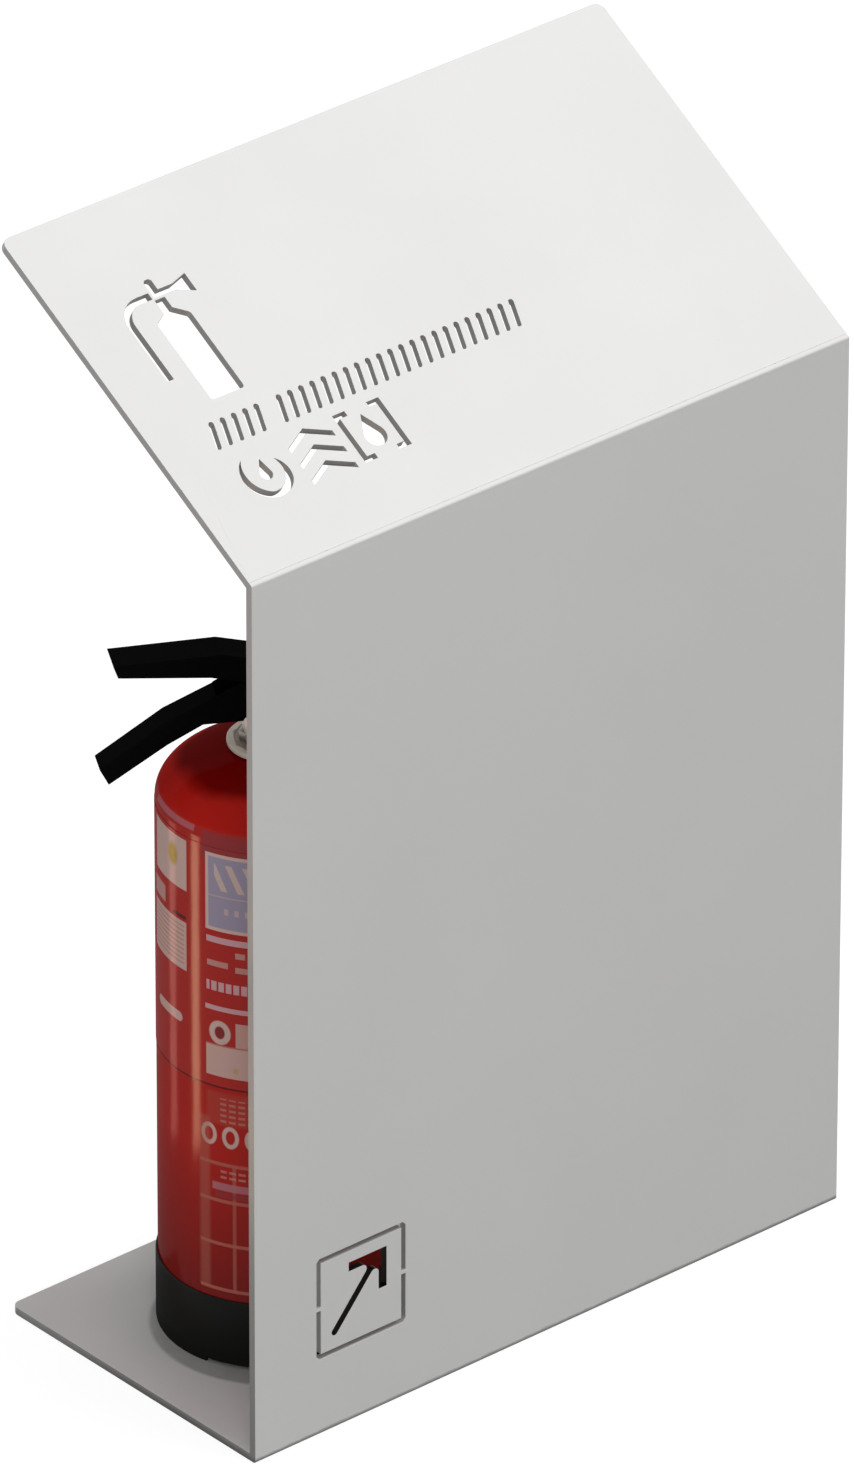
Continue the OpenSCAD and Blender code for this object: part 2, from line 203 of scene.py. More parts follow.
def finish_piece(piece, slot, material, *stands_for, body="extinguisher", smooth=40, weighted=True):
    """Shades a piece, gives it its material and body, and hides the nodes that it stands for; the slot is
    not used.
    """
    if smooth:
        shade(piece, smooth, weighted)
    piece.data.materials.clear()
    piece.data.materials.append(material)
    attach(piece, body)
    if stands_for:
        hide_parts(*stands_for)
    print(piece.name, len(piece.data.polygons), "faces")


# %% [markdown]
# A copy of a node starts some of the pieces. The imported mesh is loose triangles, so the copy is merged,
# and its flat faces are dissolved into single polygons. Only then can its edges be rounded.

# %% Copies of the nodes
def name_new(name):
    """Names the object that an operator has just added."""
    piece = bpy.context.object
    piece.name = piece.data.name = name
    return piece


def weld(reach):
    """Merges what is selected, and turns each flat area into one face."""
    bpy.ops.mesh.remove_doubles(threshold=reach)
    bpy.ops.mesh.dissolve_limited(angle_limit=math.radians(0.5))
    close_mesh()


def copy_of(name, source):
    pick(nodes[source])
    bpy.ops.object.duplicate()
    piece = name_new(name)
    piece.parent = None
    for key in list(piece.keys()):
        del piece[key]
    piece.data.materials.clear()
    open_mesh(piece)
    bpy.ops.mesh.customdata_custom_splitnormals_clear()
    weld(0.001 * MM)
    return piece


def shift_vertices(piece, test, shift):
    """Moves the vertices that pass the test."""
    open_where(piece, "VERT", test)
    bpy.ops.transform.translate(value=shift)
    close_mesh()


def join_to(piece, other):
    """Joins two overlapping solids, and dissolves what is left of the seam."""
    union = piece.modifiers.new("joined", "BOOLEAN")
    union.operation = "UNION"
    union.solver = "EXACT"
    union.object = other
    apply_modifiers(piece)
    bpy.data.objects.remove(other, do_unlink=True)
    open_mesh(piece)
    weld(0.005 * MM)


# %% [markdown]
# Turned parts, such as the cylinder and the neck collar, start as one point. It is extruded along half
# of the part's outline, point by point, and the line is then spun round the axis, as on a lathe.

# %% Turned parts
def arc(center, radius, start, end, steps=6):
    """Points of an arc in a drawing of radius and height."""
    angles = [math.radians(start + (end - start) * i / steps) for i in range(steps + 1)]
    return [(center[0] + radius * math.cos(a), center[1] + radius * math.sin(a)) for a in angles]


def turned(name, outline, origin=axis_foot, direction=UP, steps=96):
    """Spins an outline of (radius, height) points about a line through origin along direction."""
    deselect()
    bpy.ops.mesh.primitive_plane_add(size=MM, location=(0, 0, 0))
    piece = name_new(name)
    open_mesh(piece)
    bpy.ops.mesh.merge(type="CENTER")
    bpy.ops.transform.translate(value=(outline[0][0], 0, outline[0][1]))
    for last, point in zip(outline, outline[1:]):
        step = (point[0] - last[0], 0, point[1] - last[1])
        bpy.ops.mesh.extrude_vertices_move(TRANSFORM_OT_translate={"value": step})
    bpy.ops.mesh.select_all(action="SELECT")
    bpy.ops.mesh.remove_doubles(threshold=1e-7)
    bpy.ops.mesh.spin(steps=steps, angle=math.tau, center=(0, 0, 0), axis=(0, 0, 1))
    bpy.ops.mesh.select_all(action="SELECT")
    bpy.ops.mesh.remove_doubles(threshold=1e-6)
    bpy.ops.mesh.dissolve_degenerate(threshold=1e-7)
    bpy.ops.mesh.normals_make_consistent(inside=False)
    close_mesh()
    turn = UP.rotation_difference(direction).to_matrix().to_4x4()
    piece.data.transform(Matrix.Translation(origin) @ turn)
    return piece


# %% [markdown]
# ## Shared effects
#
# Three effects come back in several finishes, so each is a node group, built once. The first is the
# soft ripple of a paint or moulding, which breaks a reflection a little. The second rounds noise into a
# mottle that changes how shiny a surface is from place to place. The third wears the marked edges.

# %% The nodes of one material or group
class Net:
    """A tree of shader nodes, with a short name for each step that the finishes take."""

    def __init__(self, tree):
        self.tree = tree

    def feed(self, socket, value):
        """Links an output to a socket, or sets the socket to a fixed number or colour."""
        if isinstance(value, bpy.types.NodeSocket):
            self.tree.links.new(value, socket)
        elif socket.type == "RGBA":
            socket.default_value = (*value, 1)
        else:
            socket.default_value = value

    def add(self, kind, inputs, **settings):
        """Adds a node, sets and feeds it, and returns its outputs."""
        node = self.tree.nodes.new("ShaderNode" + kind)
        for label, value in settings.items():
            setattr(node, label, value)
        for label, value in inputs.items():
            self.feed(node.inputs[label], value)
        return node.outputs

    def math(self, operation, *values):
        return self.add("Math", dict(enumerate(values)), operation=operation)[0]

    def plus(self, a, b):
        return self.math("ADD", a, b)

    def minus(self, a, b):
        return self.math("SUBTRACT", a, b)

    def times(self, product, *factors):
        for factor in factors:
            product = self.math("MULTIPLY", product, factor)
        return product

    def highest(self, a, b):
        return self.math("MAXIMUM", a, b)

    def distance(self, dx, dy):
        """The length of an offset given by its two parts."""
        return self.math("SQRT", self.plus(self.times(dx, dx), self.times(dy, dy)))

    def noise(self, vector, scale, detail=2):
        return self.add("TexNoise", {"Vector": vector, "Scale": scale, "Detail": detail})["Fac"]

    def ramp(self, value, low, high, to_low=0, to_high=1):
        """Turns the range between two values into another one, clamped at both ends."""
        return self.add("MapRange", {"Value": value, "From Min": low, "From Max": high,
                                     "To Min": to_low, "To Max": to_high})["Result"]

    def mix(self, mask, low, high):
        """One colour where the mask is 0, and another where it is 1."""
        node = self.tree.nodes.new("ShaderNodeMix")
        node.data_type = "RGBA"
        self.feed(node.inputs["Factor"], mask)
        for socket, value in zip([s for s in node.inputs if s.type == "RGBA"], (low, high)):
            self.feed(socket, value)
        return next(s for s in node.outputs if s.type == "RGBA")

    def place(self):
        return self.add("TexCoord", {})["Object"]

    def xyz(self, vector):
        return self.add("SeparateXYZ", {"Vector": vector})

    def mark(self, name):
        """Reads a mark that was written on the mesh."""
        return self.add("Attribute", {}, attribute_name=name)["Fac"]


# %% Making a group
def new_group(name, inputs, outputs):
    """A group with a vector input for each None, and a number input for each starting value."""
    group = bpy.data.node_groups.new(name, "ShaderNodeTree")
    for label, value in inputs.items():
        kind = "NodeSocketVector" if value is None else "NodeSocketFloat"
        socket = group.interface.new_socket(name=label, in_out="INPUT", socket_type=kind)
        if value is not None:
            socket.default_value = value
    for label in outputs:
        group.interface.new_socket(name=label, in_out="OUTPUT", socket_type="NodeSocketFloat")
    return Net(group), group.nodes.new("NodeGroupInput").outputs, group.nodes.new("NodeGroupOutput").inputs


# %% The ripple group: a fine and a broad noise, added into one height
def build_ripple():
    net, given, result = new_group(
        "surface_ripple", {"Position": None, "Fine": 900, "Broad": 40, "Share": 0.3}, ["Height"])
    fine = net.noise(given["Position"], given["Fine"], 3)
    broad = net.noise(given["Position"], given["Broad"], 1)
    net.feed(result["Height"], net.plus(fine, net.times(broad, given["Share"])))
    return net.tree


# %% The mottle group: a slow change of one number over the surface
def build_mottle():
    net, given, result = new_group(
        "surface_mottle", {"Position": None, "Scale": 12, "Low": 0.3, "High": 0.5}, ["Value"])
    cloud = net.noise(given["Position"], given["Scale"], 4)
    net.feed(result["Value"], net.ramp(cloud, 0.3, 0.7, given["Low"], given["High"]))
    return net.tree


# %% The edge wear group: the marked edges, broken up by noise
def build_edge_wear():
    net, given, result = new_group(
        "edge_wear", {"Edge": 0, "Position": None, "Scale": 180, "Amount": 0.5}, ["Mask"])
    chips = net.noise(given["Position"], given["Scale"], 3)
    limit = net.minus(0.72, net.times(given["Amount"], 0.4))
    worn = net.ramp(chips, limit, net.plus(limit, 0.06))
    net.feed(result["Mask"], net.times(worn, given["Edge"]))
    return net.tree


ripple = build_ripple()
mottle = build_mottle()
edge_wear = build_edge_wear()
print("shared effects:", ripple.name, mottle.name, edge_wear.name)


# %% [markdown]
# A finish is one Principled shader. Its fixed numbers sit on the shader itself. The groups feed only
# what changes over the surface: the roughness, and the height of a bump.

# %% The base of every finish
def set_shader(material, **values):
    """Feeds the shader's sockets, and returns the material."""
    net = Net(material.node_tree)
    for label, value in values.items():
        net.feed(net.tree.nodes["Principled BSDF"].inputs[label.replace("_", " ")], value)
    return material


def finish(name, color, roughness, bump=0, fine=900, broad=40, share=0.3, scale=12, **fixed):
    """A finish with mottled roughness between two values and a rippled surface."""
    material = bpy.data.materials.new(name)
    material.use_nodes = True
    net = Net(material.node_tree)
    place = net.place()
    shine = net.add("Group", {"Position": place, "Scale": scale, "Low": roughness[0],
                              "High": roughness[1]}, node_tree=mottle)
    set_shader(material, Base_Color=color, Roughness=shine["Value"], **fixed)
    if bump:
        relief = net.add("Group", {"Position": place, "Fine": fine, "Broad": broad, "Share": share},
                         node_tree=ripple)
        height = net.add("Bump", {"Strength": bump, "Distance": 0.05 * MM, "Height": relief["Height"]})
        set_shader(material, Normal=height["Normal"])
    return material


def wear_mask(net, place, scale, amount):
    """Where the rounded edges have lost their paint."""
    return net.add("Group", {"Edge": net.mark("worn_edge"), "Position": place, "Scale": scale,
                             "Amount": amount}, node_tree=edge_wear)["Mask"]


# %% [markdown]
# ## The folded sheet
#
# The real stand is one sheet, cut by laser, folded twice and powder coated in a pale grey. The coat
# rounds every cut edge a little, and that thin rounding catches the light. The three panels of the
# frame become one piece, so no seam is left at the folds: each neighbour first reaches a little way into
# the front panel, and then they are joined.

# %% Joining the panels
sheet = copy_of("folded_sheet", "front_panel")
base = copy_of("base_copy", "base_plate")
sign = copy_of("sign_copy", "sign_panel")
reach_in = 0.4 * MM

base_start = min(vertex.co.y for vertex in base.data.vertices)
shift_vertices(base, lambda vertex: vertex.co.y < base_start + 0.1 * MM, (0, -reach_in, 0))

sign_normal = max(sign.data.polygons, key=lambda face: face.area * (face.normal.z > 0)).normal.copy()
up_slope = sign_normal.cross(Vector((1, 0, 0)))
if up_slope.z < 0:
    up_slope = -up_slope
sign_start = min(vertex.co.dot(up_slope) for vertex in sign.data.vertices)
shift_vertices(sign, lambda vertex: vertex.co.dot(up_slope) < sign_start + 0.1 * MM, -up_slope * reach_in)

join_to(sheet, base)
join_to(sheet, sign)
slope = math.degrees(math.asin(up_slope.z))
print("sheet joined:", len(sheet.data.polygons), "faces, slope", round(slope, 1))

# %% [markdown]
# The narrow walls of the cuts are darker than the faces, as painted shade, most of all in the arrow,
# whose walls are painted black and made metallic, which dims their reflections. The walls are marked in an
# attribute while the mesh is still simple: 0.5 for a wall of the sign and of the square, 1 for a wall of
# the arrow. The edges are rounded after that.

# %% Marking the walls of the cuts
front_low, front_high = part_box("front_panel")
margin = 12 * MM
sign_reach = 260 * MM


def between_sides(face):
    return front_low.x + margin < face.center.x < front_high.x - margin


def in_front_panel(face):
    inside = between_sides(face) and abs(face.normal.y) < 0.3
    return inside and margin < face.center.z < front_high.z - 4 * margin


def in_sign(face):
    run = face.center.dot(up_slope) - sign_start
    return between_sides(face) and abs(face.normal.dot(sign_normal)) < 0.3 and margin < run < sign_reach


window = [face.center.copy() for face in sheet.data.polygons if in_front_panel(face)]
window_left, window_right = min(c.x for c in window), max(c.x for c in window)
window_x = (window_left + window_right) / 2
window_z = (min(c.z for c in window) + max(c.z for c in window)) / 2
window_half = (window_right - window_left) / 2
print("window at", round(window_x, 4), round(window_z, 4), "half", round(window_half, 4))


# how much painted shade a cut wall gets: half in the sign and the square, all of it in the arrow
def wall_shade(face):
    if in_sign(face):
        return 0.5
    if in_front_panel(face):
        away = max(abs(face.center.x - window_x), abs(face.center.z - window_z))
        return 1 if away < window_half * 0.9 else 0.5
    return 0


def is_outer_wall(face):
    at_side = min(abs(face.center.x - front_low.x), abs(face.center.x - front_high.x)) < 0.1 * MM
    return float(at_side and abs(face.normal.x) > 0.9)


for mark, tone in (("cut_wall_shade", wall_shade), ("outer_wall", is_outer_wall)):
    wall = sheet.data.attributes.new(mark, "FLOAT", "CORNER")
    for face in sheet.data.polygons:
        for corner in face.loop_indices:
            wall.data[corner].value = tone(face)
round_edges(sheet, 0.3 * MM)

# %% [markdown]
# The powder coat has a fine orange peel, and handling has chipped its edges in a few places. A painted
# contact shadow runs along its foot, and painted shade darkens its side walls towards the floor. A dark
# ring round the extinguisher's foot, a little further to the front left than where it stands now, is a
# painted shadow, and painted shade darkens the plate towards the open back and round the foot.

# %% The powder coat
COAT = (0.80, 0.795, 0.785)
foot_r = half_size("foot_ring")
# the middle of the painted shade and the painted shadow ring on the plate
shade_x = axis_x - 8 * MM
shade_y = axis_y - 9 * MM


def powder_coat():
    material = finish("pale_powder_coat", COAT, (0.42, 0.55), bump=0.35, fine=1400, broad=260,
                      share=0.6, Specular_IOR_Level=0.3)
    net = Net(material.node_tree)
    place = net.place()
    x, y, height = net.xyz(place)
    cloud = net.noise(place, 5, 3)
    color = net.mix(net.ramp(cloud, 0.35, 0.65), COAT, (0.785, 0.78, 0.77))

    # painted shade: the outer side walls get darker towards the floor
    shade_near_floor = net.ramp(height, 0.75, 0.02, 0.35, 0.92)
    color = net.mix(net.times(net.mark("outer_wall"), shade_near_floor), color, (0.24, 0.235, 0.225))

    # painted shade in the walls of the cuts: grey in the sign and the square, black and metallic in the
    # arrow
    cut_wall_shade = net.mark("cut_wall_shade")
    color = net.mix(net.ramp(cut_wall_shade, 0, 0.5), color, (0.42, 0.415, 0.40))
    arrow_wall_shade = net.ramp(cut_wall_shade, 0.6, 0.9)
    color = net.mix(arrow_wall_shade, color, (0.012, 0.010, 0.010))
    color = net.mix(wear_mask(net, place, 260, 0.12), color, (0.36, 0.36, 0.35))

    patchy = net.noise(place, 90, 3)
    # a painted contact shadow along the foot of the sheet, a few millimetres high
    line_top = net.ramp(patchy, 0.3, 0.7, 3.6 * MM, 4.8 * MM)
    floor_contact_shadow = net.ramp(height, line_top, 1.6 * MM, 0, 0.85)
    color = net.mix(floor_contact_shadow, color, (0.10, 0.097, 0.09))

    # painted shade on the plate, towards the open back and round the extinguisher's foot
    on_plate = net.ramp(height, sheet_t + 3 * MM, sheet_t + 1 * MM)
    radius = net.distance(net.minus(x, shade_x), net.minus(y, shade_y))
    by_foot = net.ramp(radius, foot_r + 50 * MM, foot_r + 5 * MM, 0.45, 0.8)
    plate_shade = net.times(net.ramp(y, -0.01, 0.10), by_foot, on_plate)
    color = net.mix(plate_shade, color, (0.58, 0.575, 0.565))
    # a painted shadow in a ring round the foot, a little to the front left of it
    outer = net.ramp(radius, foot_r + 5.5 * MM, foot_r + 2.5 * MM)
    inner = net.ramp(radius, foot_r - 24 * MM, foot_r - 12 * MM)
    foot_shadow_ring = net.times(outer, inner, on_plate, net.ramp(patchy, 0.2, 0.8, 0.6, 0.75))
    color = net.mix(foot_shadow_ring, color, (0.27, 0.265, 0.26))
    return set_shader(material, Base_Color=color, Metallic=arrow_wall_shade)


finish_piece(sheet, "sheet_paint", powder_coat(), "base_plate", "front_panel", "sign_panel", body="stand")

# %% [markdown]
# ## The red cylinder
#
# The cylinder is deep drawn steel under glossy red enamel: a rounded heel, a straight wall and a dome
# that is half an ellipse. It is turned from its outline. The dome's height follows from the top of the
# neck, where the outline has the neck's radius.

# %% Turning the cylinder
shell_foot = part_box("cylinder_shell")[0].z
neck_top = top_of("cylinder_shell")
neck_r = half_size("neck_boss")
shoulder = top_of("label_film") + 2 * MM
dome_h = (neck_top - shoulder) / math.sqrt(1 - (neck_r / bottle_r) ** 2)
heel = 10 * MM
dome_steps = 28

cylinder_line = [(0, shell_foot)] + arc((bottle_r - heel, shell_foot + heel), heel, -90, 0, 8)
last_angle = math.asin((neck_top - shoulder) / dome_h)
for i in range(1, dome_steps + 1):
    angle = last_angle * i / dome_steps
    cylinder_line.append((bottle_r * math.cos(angle), shoulder + dome_h * math.sin(angle)))
cylinder_line.append((0, neck_top))
cylinder = turned("red_cylinder", cylinder_line, steps=128)
print("dome height", round(dome_h, 4))

# %% [markdown]
# Enamel is hard and smooth, so its highlights stay long. A slow ripple keeps them from being ruler
# straight. The dome is less glossy, and painted shade darkens the red round the neck and at the foot.
# On the lower half the maker prints straight onto the paint, so that print is part of this finish. The
# next cells build the print from three shared groups: one turns a point on the cylinder into an arc
# length and a height, one draws a soft-edged rectangle between four limits, and one repeats a bar.

# %% Group: arc length round the bottle, and height, both in millimetres
def build_wrap():
    net, given, result = new_group(
        "bottle_wrap", {"Position": None, "Middle X": axis_x, "Middle Y": axis_y, "Radius": bottle_r},
        ["Along", "Height"])
    x, y, z = net.xyz(given["Position"])
    angle = net.math("ARCTAN2", net.minus(given["Middle Y"], y), net.minus(given["Middle X"], x))
    net.feed(result["Along"], net.times(angle, given["Radius"], 1000))
    net.feed(result["Height"], net.times(z, 1000))
    return net.tree


# %% Group: a rectangle with soft edges, as a mask
def soft_edge(net, depth, softness):
    """1 where the depth inside an edge is positive and 0 outside, with a soft step between."""
    step = net.plus(net.math("DIVIDE", depth, softness), 0.5)
    return net.add("Clamp", {"Value": step})[0]


def build_patch():
    net, given, result = new_group(
        "printed_patch", {"Along": 0, "Height": 0, "Left": 0, "Right": 10, "Bottom": 0,
                          "Top": 10, "Softness": 0.25}, ["Mask"])

    def inside(value, low, high):
        center = net.times(net.plus(low, high), 0.5)
        half = net.times(net.minus(high, low), 0.5)
        away = net.math("ABSOLUTE", net.minus(value, center))
        return soft_edge(net, net.minus(half, away), given["Softness"])

    sideways = inside(given["Along"], given["Left"], given["Right"])
    upwards = inside(given["Height"], given["Bottom"], given["Top"])
    net.feed(result["Mask"], net.times(sideways, upwards))
    return net.tree


# %% Group: repeating bars in one direction, as a mask
def build_rows():
    net, given, result = new_group(
        "printed_rows", {"Value": 0, "Pitch": 3, "Width": 0.5, "Softness": 0.25}, ["Mask"])
    wave = net.math("PINGPONG", given["Value"], net.times(given["Pitch"], 0.5))
    depth = net.minus(net.times(given["Width"], 0.5), wave)
    net.feed(result["Mask"], soft_edge(net, depth, given["Softness"]))
    return net.tree


wrap_group = build_wrap()
patch_group = build_patch()
rows_group = build_rows()
print("print groups:", wrap_group.name, patch_group.name, rows_group.name)


# %% Placing the groups in a material
class Print(Net):
    """A print on the bottle: patches, rows and spots, laid one over the other."""

    def __init__(self, tree, ground):
        super().__init__(tree)
        self.color = ground
        self.along, self.height = self.add("Group", {"Position": self.place()}, node_tree=wrap_group)

    def patch(self, left, right, bottom, top, softness=0.3):
        limits = {"Left": left, "Right": right, "Bottom": bottom, "Top": top, "Softness": softness}
        return self.add("Group", {"Along": self.along, "Height": self.height, **limits},
                        node_tree=patch_group)["Mask"]

    def rows(self, value, pitch, width, *limits):
        """Bars that repeat along a value, within a patch if it has limits."""
        size = {"Pitch": pitch, "Width": width, "Softness": 0.3}
        bars = self.add("Group", {"Value": value, **size}, node_tree=rows_group)["Mask"]
        return self.times(bars, self.patch(*limits)) if limits else bars

    def spot(self, along, height, radius, softness=0.4, stretch=1):
        dy = self.math("DIVIDE", self.minus(self.height, height), stretch)
        far = self.distance(self.minus(self.along, along), dy)
        return self.ramp(far, radius + softness, radius - softness)

    def lay(self, mask, color, strength):
        self.color = self.mix(self.times(mask, strength), self.color, color)

    def lay_patches(self, *patches):
        """Lays patches, each given as a colour, a strength and the patch's limits."""
        for color, strength, *limits in patches:
            self.lay(self.patch(*limits), color, strength)


# %% [markdown]
# The print itself is a made-up layout of panels, bars, dots and fine rows, in the colours that such
# labels use. Distances run round the bottle from its left side, in millimetres, and heights are
# measured from the floor. A patch is given by its colour, its strength, and its left, right, lower and
# upper limit, with the softness of its edge where it isn't sharp.

# %% The print on the lower half
PALE = (0.90, 0.66, 0.58)
PINK = (0.62, 0.18, 0.13)
LILAC = (0.46, 0.40, 0.55)
MAUVE = (0.41, 0.050, 0.056)
ROSE = (0.66, 0.26, 0.31)
BLUSH = (0.90, 0.56, 0.60)
BLACK = (0.02, 0.015, 0.015)
YELLOW = (0.62, 0.43, 0.025)
RED = (0.26, 0.008, 0.006)
FILM_RED = (0.60, 0.026, 0.019)


def lower_print(tree, ground):
    """Ring marks above two framed tables, printed straight onto the paint, and two painted highlights."""
    page = Print(tree, ground)
    for along in (21.5, 37, 52.5, 68):
        outer = page.spot(along, 177.5, 5.8, stretch=1.4)
        page.lay(page.minus(outer, page.spot(along, 177.5, 3.2, stretch=1.6)), PALE, 0.9)
    for level in (62.5, 96.5, 129, 156.5):
        page.lay_patches((PINK, 0.85, 14.5, 92, level - 1.2, level + 1.2, 0.8))
    # a soft pink band down the left side of the tables is a painted highlight
    page.lay_patches((PINK, 0.44, 14.5, 22, 62.5, 190, 3))
    for left in (38.4, 56, 73.6, 89.6):
        page.lay_patches((PINK, 0.6, left, left + 2.4, 62.5, 156.5, 0.8))
    page.lay_patches((ROSE, 0.75, 24, 88, 137, 142.5, 1),
                     (MAUVE, 0.7, 26, 88, 131.5, 136, 1))
    for bottom, top in ((144, 153.5), (188, 206)):
        fine = page.rows(page.height, 4.2, 1.8, 30, 88, bottom, top)
        page.lay(page.times(fine, page.rows(page.along, 6.4, 4.6)), PALE, 0.32)
    page.lay_patches((PINK, 0.22, 20, 88, 186, 210, 2.5),
                     # the print of the film above runs a little over the shoulder; the pink line along its
                     # edge at the left is a painted highlight
                     (FILM_RED, 1, -400, 400, 380, 400.8),
                     (MAUVE, 0.85, 17, 101, 380, 400, 3),
                     (ROSE, 0.55, -38, 10, 396.5, 400.5, 0.8))
    return page


# %% Red enamel with its print, painted shade, painted highlights and ripple
film_look_end = 400.5 * MM


def enamel_finish():
    material = finish("red_enamel", RED, (0.30, 0.40), bump=0.12, fine=240, broad=30, share=2,
                      scale=9, Specular_IOR_Level=0, Coat_IOR=2, Coat_Roughness=0.13)
    net = Net(material.node_tree)
    place = net.place()
    height = net.xyz(place)["Z"]
    tint = net.ramp(net.noise(place, 14), 0.3, 0.7)
    ground = net.mix(tint, (0.60, 0.016, 0.010), (0.66, 0.020, 0.013))
    # painted shade: the red gets darker towards the foot
    shade_near_floor = net.ramp(height, 0.165, 0.05, 0, 0.75)
    ground = net.mix(shade_near_floor, ground, (0.12, 0.006, 0.004))
    on_dome = net.ramp(height, shoulder, shoulder + 4 * MM)
    ground = net.mix(on_dome, ground, (0.66, 0.018, 0.012))
    # painted shade round the neck, where the valve and the levers shade the dome
    patchy = net.noise(place, 22)
    neck_shade_from = net.ramp(patchy, 0.3, 0.7, neck_top - 21 * MM, neck_top - 13 * MM)
    neck_shade = net.ramp(height, neck_shade_from, net.plus(neck_shade_from, 7 * MM))
    ground = net.mix(neck_shade, ground, (0.24, 0.003, 0.002))
    gloss = net.ramp(height, film_look_end, film_look_end + 2 * MM, 0.07, 0.018)
    return set_shader(material, Base_Color=lower_print(net.tree, ground).color, Coat_Weight=gloss)


finish_piece(cylinder, "cylinder_paint", enamel_finish(), "cylinder_shell", smooth=50)

# %% [markdown]
# ## The label film
#
# The upper half carries a thin clear film with print on its back. It is its own node, so it keeps the
# frame's shape, and only its finish is new. The film is smoother than the paint, its edge is a fine
# line, and the print sits a little paler than ink on paper would.

# %% The print on the film
def film_print(tree, ground):
    page = Print(tree, ground)
    # left block: a pale panel with a dot, a fine printed block and a pill
    page.lay_patches((PALE, 0.9, -36, 4.2, 350, 387.3))
    page.lay(page.spot(-10, 372, 5, 1.2, stretch=1.6), YELLOW, 0.95)
    page.lay_patches((PALE, 0.85, -38, 3.8, 291, 326.5))
    page.lay(page.rows(page.height, 3.4, 1.1, -36, 1.8, 294, 323.5), PINK, 0.55)
    page.lay_patches((BLACK, 0.8, -10, 3.4, 328.5, 331),
                     (PALE, 0.6, -38, -20, 331, 343, 1.5))
    ends = page.highest(page.spot(-28, 254.5, 3.5), page.spot(-4, 254.5, 3.5))
    page.lay(page.highest(page.patch(-28, -4, 251, 258), ends), PALE, 0.85)
    # right block: a lilac panel in a pale border, with leaning bars and a dotted row
    page.lay_patches((MAUVE, 0.85, 17, 101, 382, 410, 3),
                     (PALE, 0.95, 20, 98, 329.5, 386),
                     (LILAC, 0.95, 22.2, 95.8, 332, 383.5))
    lean = page.plus(page.along, page.times(page.height, 0.45))
    page.lay(page.rows(lean, 11.5, 4.6, 26.5, 91, 359.5, 379), PALE, 0.85)
    page.lay_patches((PALE, 0.5, 22.2, 95.8, 354.6, 355.6))
    page.lay(page.rows(page.along, 7, 3, 30, 88, 342.5, 347), PALE, 0.6)
    # header bars and figures of plain shapes below it
    page.lay_patches((BLUSH, 0.85, 20.5, 97, 320.5, 325),
                     (PALE, 0.5, 41, 47.5, 311.5, 315.7),
                     (PALE, 0.5, 52, 96, 311.5, 315.7),
                     (PALE, 0.5, 41, 90, 301, 305.2),
                     (PALE, 0.5, 21, 36, 303, 307.2))
    page.lay(page.rows(page.along, 5.2, 3.9, 20.5, 96, 285, 292), BLUSH, 0.85)
    page.lay_patches((BLUSH, 0.85, 19.5, 97, 270.5, 274),
                     (PALE, 0.8, 20, 97, 222, 245),
                     (PALE, 0.66, 41, 97, 245, 263.5))
    disc = page.spot(30, 254.5, 7.6, stretch=1.15)
    page.lay(disc, (0.25, 0.03, 0.03), 0.75)
    page.lay(page.minus(disc, page.spot(30, 254.5, 3.6, stretch=1.3)), PALE, 0.9)
    page.lay_patches((PINK, 0.8, 20, 97, 244.5, 245.7),
                     (PINK, 0.5, 57.5, 58.3, 222, 263.5))
    page.lay(page.rows(page.height, 3, 0.9, 61, 94, 225, 260), PINK, 0.45)
    page.lay(page.spot(41, 228, 2, 0.7), YELLOW, 0.5)
    return page


# %% Clear film over the print
def film_finish():
    material = finish("printed_film", RED, (0.30, 0.40), bump=0.1, fine=500, broad=22, share=3,
                      scale=20, Specular_IOR_Level=0, Coat_IOR=2, Coat_Weight=0.085,
                      Coat_Roughness=0.12)
    page = film_print(material.node_tree, FILM_RED)
    above_edge = page.patch(-400, 400, 214.6, 420, 0.5)
    color = page.mix(above_edge, (0.10, 0.006, 0.006), page.color)
    return set_shader(material, Base_Color=color)


def dress_node(node, material):
    """A CAD node whose shape is right keeps it, and takes the finish on its own slots."""
    nodes[node].data.materials.clear()
    nodes[node].data.materials.append(material)
    print(node, "dressed in", material.name)


dress_node("label_film", film_finish())

# %% [markdown]
# ## The foot ring
#
# A black ring is pressed over the heel of the cylinder. It is moulded, so all its edges are round, and
# three long reliefs under its rim let water run off the plate. The frame's ring has the right steps, so
# a merged copy only gets round edges.

# %% The foot ring with round edges
black_moulding = finish("black_moulding", (0.009, 0.0085, 0.008), (0.34, 0.46), bump=0.35, fine=1600,
                        broad=120, share=0.8, scale=30, Specular_IOR_Level=0, Coat_Weight=0.18,
                        Coat_Roughness=0.35)
foot = copy_of("foot_ring_moulded", "foot_ring")
round_edges(foot, 0.45 * MM)
finish_piece(foot, "foot_plastic", black_moulding, "foot_ring")

# %% [markdown]
# ## The neck and the valve
#
# The collar is a pale moulded washer that marks the neck. It is turned, with a rounded rim and a shallow
# groove. The valve is a brass casting under nickel. Its body comes from the frame and gets rounded
# edges, and a hexagon for the spanner sits round its foot.

# %% The pale collar
COLLAR_PALE = (0.88, 0.80, 0.68)
collar_r = half_size("neck_collar")
collar_foot, collar_top = (corner.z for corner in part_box("neck_collar"))
rim = 1.3 * MM
groove = 0.5 * MM


